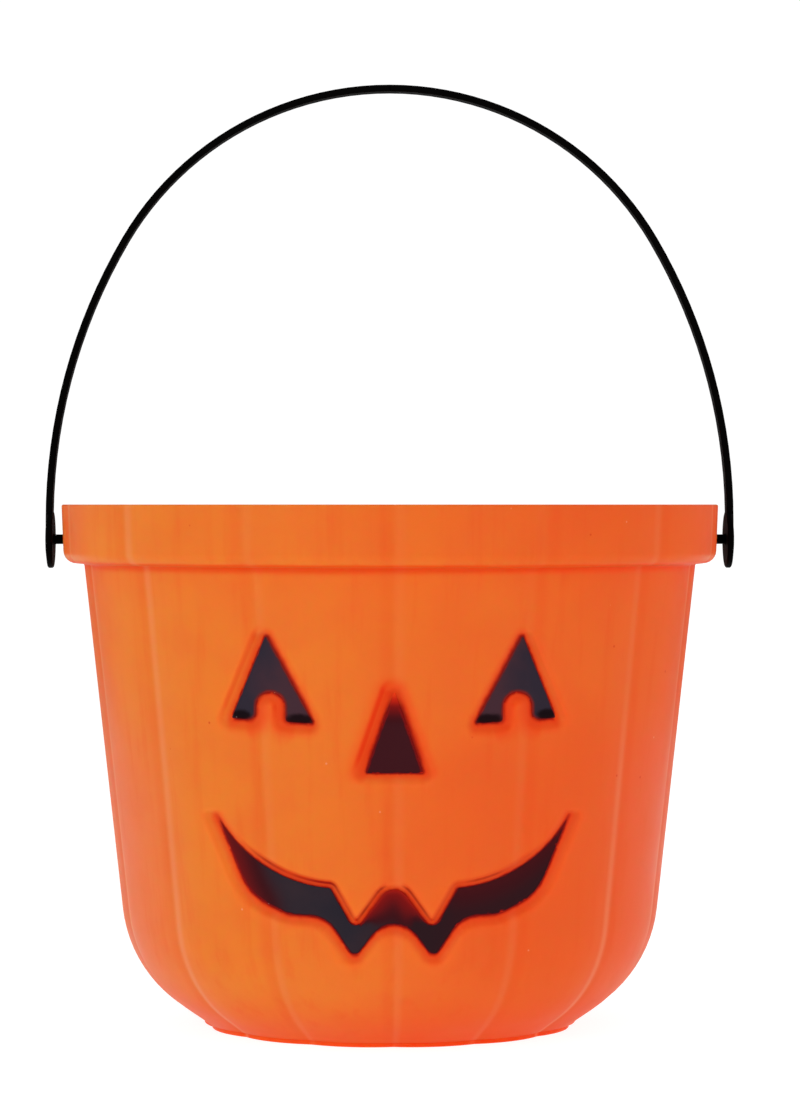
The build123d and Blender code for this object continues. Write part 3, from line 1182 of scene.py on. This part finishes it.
def add_paint_traces(graph):
    """What the sprayed paint leaves round its fields, with painted shade: a painted red shade, painted shade
    lines, smears that are partly painted shade, and a fine broken line.
    """
    distance = graph.math("ADD", graph.attribute("paint_distance"), graph.patches("uneven"))
    # Painted red shade round the paint
    graph.tint("painted_red_shade", graph.math("DIVIDE", distance, graph.attribute("painted_red_shade")))
    line = graph.attribute("line")
    line_gap = graph.attribute("line_gap")
    gap = graph.math("ABSOLUTE", line_gap)
    # Painted shade along the recess's edge and on its wall
    for name, strength in (("painted_recess_edge_shade", graph.attribute("painted_recess_edge_shade")), ("painted_wall_shade", line)):
        near = graph.carry(gap, *plastic_layers[name][1:])
        share = graph.math("MAXIMUM", near, graph.ramp(line_gap, "within_" + name))
        graph.colour = graph.mix(graph.times(share, strength), graph.colour, name)
    # Mist and smears of paint, the smear partly painted shade
    smear_and_shade = graph.math("DIVIDE", distance, graph.attribute("smear_and_shade"))
    for name in ("mist", "smear_and_shade"):
        graph.tint(name, smear_and_shade, graph.ramp(graph.attribute("thin"), name + "_left"))
    graph.tint("line", gap, line, graph.patches("broken"))


def orange_plastic():
    """Moulded plastic with painted light and shade: yellower to the left and redder to the right, with
    painted shade and highlights at its sides, band, foot and creases, and painted red shade and smears round
    the paint.
    """
    graph = Graph("orange_plastic", plastic_layers, plastic_ramps, plastic_noises)
    across, height = graph.along("X"), graph.along("Z")
    turn = graph.math("ARCTAN2", across, graph.times(graph.along("Y"), -1))
    sideways = graph.math("ABSOLUTE", graph.math("SINE", turn))
    wander = graph.math("SUBTRACT", graph.patches("wander"), graph.ramp(height, "high_wander"))
    # Painted light and shade: yellower on the lit left, redder on the right
    graph.tint("right", graph.math("ADD", across, wander))
    # Painted shade at the sides
    graph.tint("side", sideways, top=graph.over("side", "high_painted_side_shade", height))
    # Painted highlight inside the silhouettes, low on the pail
    painted_edge_highlight = graph.over("painted_edge_highlight", "right_edge_highlight", across)
    graph.tint("painted_edge_highlight", sideways, graph.ramp(height, "low_edge_highlight"), top=painted_edge_highlight)
    graph.tint("cloud", graph.noise("cloud"))
    graph.tint("streak", graph.noise("streak"))
    # Painted shade under the band
    graph.tint("painted_shade_under_band", height, graph.ramp(height, "band_shade_top"))
    # Painted highlight on the band's lower rounding
    graph.tint("painted_band_highlight", graph.difference(height, band_highlight_height), graph.ramp(sideways, "outward"))
    # Painted shade and glow towards the foot
    graph.tint("foot", height, graph.attribute("outside"))
    add_creases(graph, turn)
    add_paint_traces(graph)
    graph.speckle("pale_speck", apart=0.012, size=0.0004, strength=0.6)
    graph.speckle("red_speck", apart=0.014, size=0.0005, strength=0.7, shift=0.4)
    return graph.finish(
        Base_Color=graph.colour,
        Roughness=graph.patches("roughness"),
        Normal=graph.grain(strength=0.03),
        Specular_IOR_Level=0.05,
        Subsurface_Weight=1.0,
        Subsurface_Radius=(1.0, 0.25, 0.1),
        Subsurface_Scale=0.003,
    )


def black_paint():
    """Sprayed paint, a dark purple grey that turns red where it is thin, with near-black pools."""
    graph = Graph("black_paint", paint_layers, paint_ramps, paint_noises)
    across, height = graph.along("X"), graph.along("Z")
    width = graph.math("ABSOLUTE", across)
    graph.tint("cloud", graph.noise("cloud"))
    graph.tint("right", across)
    inner_eye = graph.over("upper", "inner_eye", graph.math("ADD", width, graph.patches("wander")))
    graph.tint("upper", height, top=inner_eye)

    uneven = graph.patches("uneven")
    bite = graph.times(graph.patches("bite"), graph.attribute("ragged"))
    inward = graph.math("SUBTRACT", graph.math("SUBTRACT", uneven, bite), graph.attribute("paint_distance"))
    fade = graph.ramp(graph.math("DIVIDE", inward, graph.attribute("fade")), "fade")
    film_thin = graph.attribute("thin")
    thin = graph.math("MINIMUM", graph.math("ADD", film_thin, fade), most_thinness)
    for name in ("maroon", "red"):
        eye_colour = graph.over(name, "eye_" + name, width, graph.ramp(height, "eye_height"))
        graph.tint(name, thin, top=eye_colour)
    graph.tint("sheer", film_thin)
    graph.tint("bare", film_thin)

    pool = graph.math("ADD", graph.attribute("pool"), uneven)
    graph.tint("pool", pool)
    graph.speckle("speck", apart=0.008, size=0.0003, strength=0.5)
    graph.tint("edge", inward)
    roughness = graph.ramp(graph.ramp(pool, "wet"), "roughness")
    return graph.finish(Base_Color=graph.colour, Roughness=roughness, Specular_IOR_Level=0.04)


def black_plastic():
    """Black moulding with a faint grain."""
    graph = Graph("black_plastic", strap_layers, strap_ramps, strap_noises)
    graph.tint("cloud", graph.noise("cloud"))
    return graph.finish(
        Base_Color=graph.colour,
        Roughness=graph.patches("roughness"),
        Normal=graph.grain(strength=0.04),
        Specular_IOR_Level=0.02,
    )


# Pieces

shell = make_object("pail", pail_skin(), orange_plastic())
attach(shell, "pail")
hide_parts("pail_shell")

paint_material = black_paint()
for node in fields:
    film = make_object(node.replace("_paint", "_film"), paint_skin(node), paint_material)
    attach(film, "pail")
    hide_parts(node)

handle = frame["nodes"]["handle"]
handle.data.materials.clear()
handle.data.materials.append(black_plastic())


# Stage: a pale floor, a white room, four soft lights and the camera

white = (1, 1, 1, 1)
floor_radius = 12
floor_sides = 96
floor_grey = (0.3, 0.3, 0.3, 1)
floor_white = 0.9
floor_light = 0.63
far_floor_light = 0.1
floor_light_reach = (0.5, 1.1)
room_white = 1.05
room_light = 0.505

light_aim = (0, 0, 0.08)
lights = {
    "key": {"place": (-0.85, -1.15, 0.5), "size": 0.9, "power": 5.6, "colour": (1, 0.97, 0.9)},
    "fill": {"place": (0.85, -1.15, 0.3), "size": 0.9, "power": 5.1, "colour": (1, 0.6, 0.52)},
    "left_side": {"place": (-1.1, 0.35, 0.3), "size": 0.8, "power": 1.4, "colour": (1, 0.65, 0.45)},
    "right_side": {"place": (1.1, 0.35, 0.3), "size": 0.8, "power": 1.8, "colour": (1, 0.45, 0.25)},
}

camera_distance = 1.036
camera_yaw = radians(0.85)
camera_sensor_width = 36
photo_focal_pixels = 3700
photo_height_pixels = 1114
axis_left_of_centre_pixels = 10
eye_level_above_centre_pixels = 52.5


def make_floor():
    """A floor that looks white, and lights the pail from near by more than from afar."""
    bpy.ops.mesh.primitive_circle_add(vertices=floor_sides, radius=floor_radius, fill_type="NGON")
    floor = bpy.context.object
    floor.name = "floor"
    graph = Graph("pale_floor")
    seen = graph.node("LightPath").outputs["Is Camera Ray"]
    away = graph.node("VectorMath", {0: graph.place()}, operation="LENGTH").outputs["Value"]
    light = graph.carry(away, *floor_light_reach, floor_light, far_floor_light)
    strength = graph.node("MapRange", {"Value": seen, "To Min": light, "To Max": floor_white})
    material = graph.finish(
        Base_Color=floor_grey,
        Roughness=1.0,
        Emission_Color=white,
        Emission_Strength=strength.outputs["Result"],
    )
    floor.data.materials.append(material)


def make_room():
    """A white room that lights the pail more softly than it looks."""
    world = bpy.data.worlds.new("room")
    world.use_nodes = True
    tree = world.node_tree
    background = tree.nodes["Background"]
    background.inputs["Color"].default_value = white
    seen = tree.nodes.new("ShaderNodeLightPath").outputs["Is Camera Ray"]
    strength = tree.nodes.new("ShaderNodeMapRange")
    strength.inputs["To Min"].default_value = room_light
    strength.inputs["To Max"].default_value = room_white
    tree.links.new(seen, strength.inputs["Value"])
    tree.links.new(strength.outputs["Result"], background.inputs["Strength"])
    bpy.context.scene.world = world
    bpy.context.scene.view_settings.view_transform = "Standard"


def make_light(name, place, size, power, colour):
    data = bpy.data.lights.new(name, "AREA")
    data.size = size
    data.energy = power
    data.color = colour
    light = bpy.data.objects.new(name, data)
    light.location = place
    light.rotation_euler = (Vector(light_aim) - Vector(place)).to_track_quat("-Z", "Y").to_euler()
    bpy.context.scene.collection.objects.link(light)


def make_camera():
    """Level with the rim, with the pail's axis a little left of the middle of the picture."""
    data = bpy.data.cameras.new("camera")
    data.sensor_width = camera_sensor_width
    data.lens = data.sensor_width * photo_focal_pixels / photo_height_pixels
    camera = bpy.data.objects.new("camera", data)
    stand = Vector((-sin(camera_yaw), -cos(camera_yaw), 0)) * camera_distance
    camera.location = (stand.x, stand.y, pail_height * MM)
    turn = np.arctan(axis_left_of_centre_pixels / photo_focal_pixels)
    drop = np.arctan(eye_level_above_centre_pixels / photo_focal_pixels)
    camera.rotation_euler = Euler((pi / 2 - drop, 0, -camera_yaw - turn))
    bpy.context.scene.collection.objects.link(camera)
    bpy.context.scene.camera = camera


make_floor()
make_room()
for name, settings in lights.items():
    make_light(name, **settings)
make_camera()
